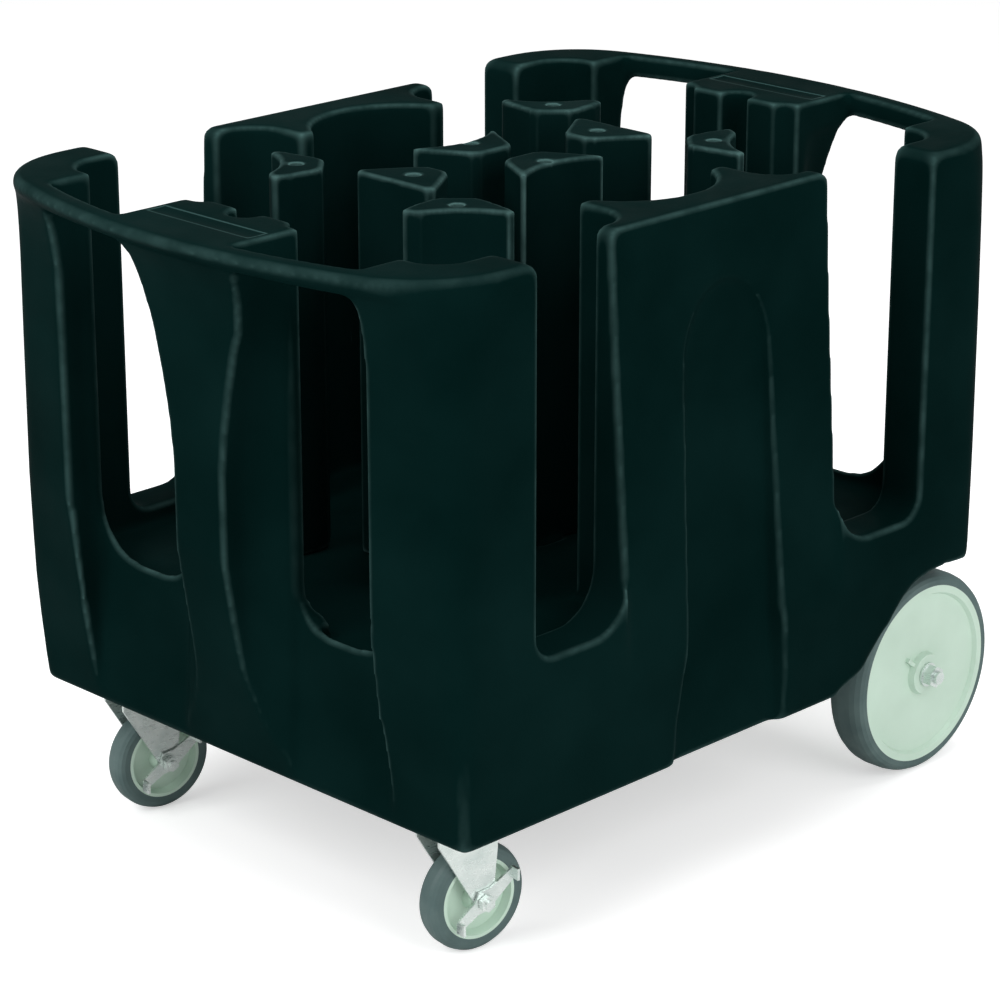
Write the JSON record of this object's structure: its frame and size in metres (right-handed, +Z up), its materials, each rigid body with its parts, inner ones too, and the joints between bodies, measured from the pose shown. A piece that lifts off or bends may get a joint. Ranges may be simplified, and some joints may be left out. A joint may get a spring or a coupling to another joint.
{
  "type": "plate dispenser cart",
  "caption": "Moulded cart for stacked plates: bowed handle rails, open slots and windows, lift-out dividing towers, large rear wheels, braked swivel casters in front.",
  "frame": {"origin": "on the floor, under the middle of the body", "axes": "+Z up, -Y towards the front end with the swivel casters, +X to the right side panel"},
  "size_m": [0.73, 1.067, 0.8],
  "materials": {
    "body_plastic": "near-black moulded polyethylene with a fine grain and rubbed edges",
    "tower_plastic": "near-black moulded polyethylene",
    "zinc_steel": "bright zinc plate",
    "bracket_iron": "black painted casting",
    "wheel_plastic": "pale grey moulded nylon",
    "tyre_rubber": "dark grey-green solid rubber"
  },
  "bodies": {
    "cart": {"cart_body": "body_plastic", "caster_plate_bolts": "zinc_steel", "rear_axle": "zinc_steel", "axle_bracket_right": "bracket_iron", "axle_bracket_left": "bracket_iron", "axle_bracket_bolts": "zinc_steel", "axle_collars": "zinc_steel", "axle_washers": "zinc_steel", "axle_nuts": "zinc_steel", "caster_plate_right": "zinc_steel", "caster_race_right": "zinc_steel", "caster_kingpin_right": "zinc_steel", "caster_plate_left": "zinc_steel", "caster_race_left": "zinc_steel", "caster_kingpin_left": "zinc_steel"},
    "tower_front_right_lift": {"tower_front_right": "tower_plastic"},
    "tower_front_left_lift": {"tower_front_left": "tower_plastic"},
    "tower_front_middle_lift": {"tower_front_middle": "tower_plastic"},
    "tower_rear_right_lift": {"tower_rear_right": "tower_plastic"},
    "tower_rear_left_lift": {"tower_rear_left": "tower_plastic"},
    "tower_rear_middle_lift": {"tower_rear_middle": "tower_plastic"},
    "tower_side_right_lift": {"tower_side_right": "tower_plastic"},
    "tower_side_left_lift": {"tower_side_left": "tower_plastic"},
    "swivel_right": {"caster_fork_right": "zinc_steel", "caster_bolt_right": "zinc_steel", "caster_nut_right": "zinc_steel"},
    "brake_right": {"brake_lever_right": "zinc_steel"},
    "caster_wheel_right": {"caster_core_right": "wheel_plastic", "caster_tyre_right": "tyre_rubber"},
    "rear_wheel_right": {"rear_core_right": "wheel_plastic", "rear_tyre_right": "tyre_rubber"},
    "swivel_left": {"caster_fork_left": "zinc_steel", "caster_bolt_left": "zinc_steel", "caster_nut_left": "zinc_steel"},
    "brake_left": {"brake_lever_left": "zinc_steel"},
    "caster_wheel_left": {"caster_core_left": "wheel_plastic", "caster_tyre_left": "tyre_rubber"},
    "rear_wheel_left": {"rear_core_left": "wheel_plastic", "rear_tyre_left": "tyre_rubber"}
  },
  "joints": [
    {"name": "tower_front_right_lift_out", "type": "slide", "parent": "cart", "child": "tower_front_right_lift", "axis": [0, 0, 1], "range_m": [0, 0.48]},
    {"name": "tower_front_left_lift_out", "type": "slide", "parent": "cart", "child": "tower_front_left_lift", "axis": [0, 0, 1], "range_m": [0, 0.48]},
    {"name": "tower_front_middle_lift_out", "type": "slide", "parent": "cart", "child": "tower_front_middle_lift", "axis": [0, 0, 1], "range_m": [0, 0.48]},
    {"name": "tower_rear_right_lift_out", "type": "slide", "parent": "cart", "child": "tower_rear_right_lift", "axis": [0, 0, 1], "range_m": [0, 0.48]},
    {"name": "tower_rear_left_lift_out", "type": "slide", "parent": "cart", "child": "tower_rear_left_lift", "axis": [0, 0, 1], "range_m": [0, 0.48]},
    {"name": "tower_rear_middle_lift_out", "type": "slide", "parent": "cart", "child": "tower_rear_middle_lift", "axis": [0, 0, 1], "range_m": [0, 0.48]},
    {"name": "tower_side_right_lift_out", "type": "slide", "parent": "cart", "child": "tower_side_right_lift", "axis": [0, 0, 1], "range_m": [0, 0.48]},
    {"name": "tower_side_left_lift_out", "type": "slide", "parent": "cart", "child": "tower_side_left_lift", "axis": [0, 0, 1], "range_m": [0, 0.48]},
    {"name": "swivel_right_turn", "type": "hinge", "parent": "cart", "child": "swivel_right", "pos_m": [0.268, -0.35, 0.15], "axis": [0, 0, 1], "continuous": true},
    {"name": "caster_wheel_right_spin", "type": "hinge", "parent": "swivel_right", "child": "caster_wheel_right", "pos_m": [0.27113, -0.33025, 0.0635], "axis": [0.9877, -0.1564, 0], "continuous": true},
    {"name": "brake_right_tilt", "type": "hinge", "parent": "swivel_right", "child": "brake_right", "pos_m": [0.27113, -0.33025, 0.0635], "axis": [0.9877, -0.1564, 0], "range_deg": [-20, 0]},
    {"name": "rear_wheel_right_spin", "type": "hinge", "parent": "cart", "child": "rear_wheel_right", "pos_m": [0.2976, 0.4023, 0.127], "axis": [1, 0, 0], "continuous": true},
    {"name": "swivel_left_turn", "type": "hinge", "parent": "cart", "child": "swivel_left", "pos_m": [-0.268, -0.35, 0.15], "axis": [0, 0, 1], "continuous": true},
    {"name": "caster_wheel_left_spin", "type": "hinge", "parent": "swivel_left", "child": "caster_wheel_left", "pos_m": [-0.26487, -0.33025, 0.0635], "axis": [0.9877, -0.1564, 0], "continuous": true},
    {"name": "brake_left_tilt", "type": "hinge", "parent": "swivel_left", "child": "brake_left", "pos_m": [-0.26487, -0.33025, 0.0635], "axis": [0.9877, -0.1564, 0], "range_deg": [-20, 0]},
    {"name": "rear_wheel_left_spin", "type": "hinge", "parent": "cart", "child": "rear_wheel_left", "pos_m": [-0.2976, 0.4023, 0.127], "axis": [1, 0, 0], "continuous": true}
  ]
}
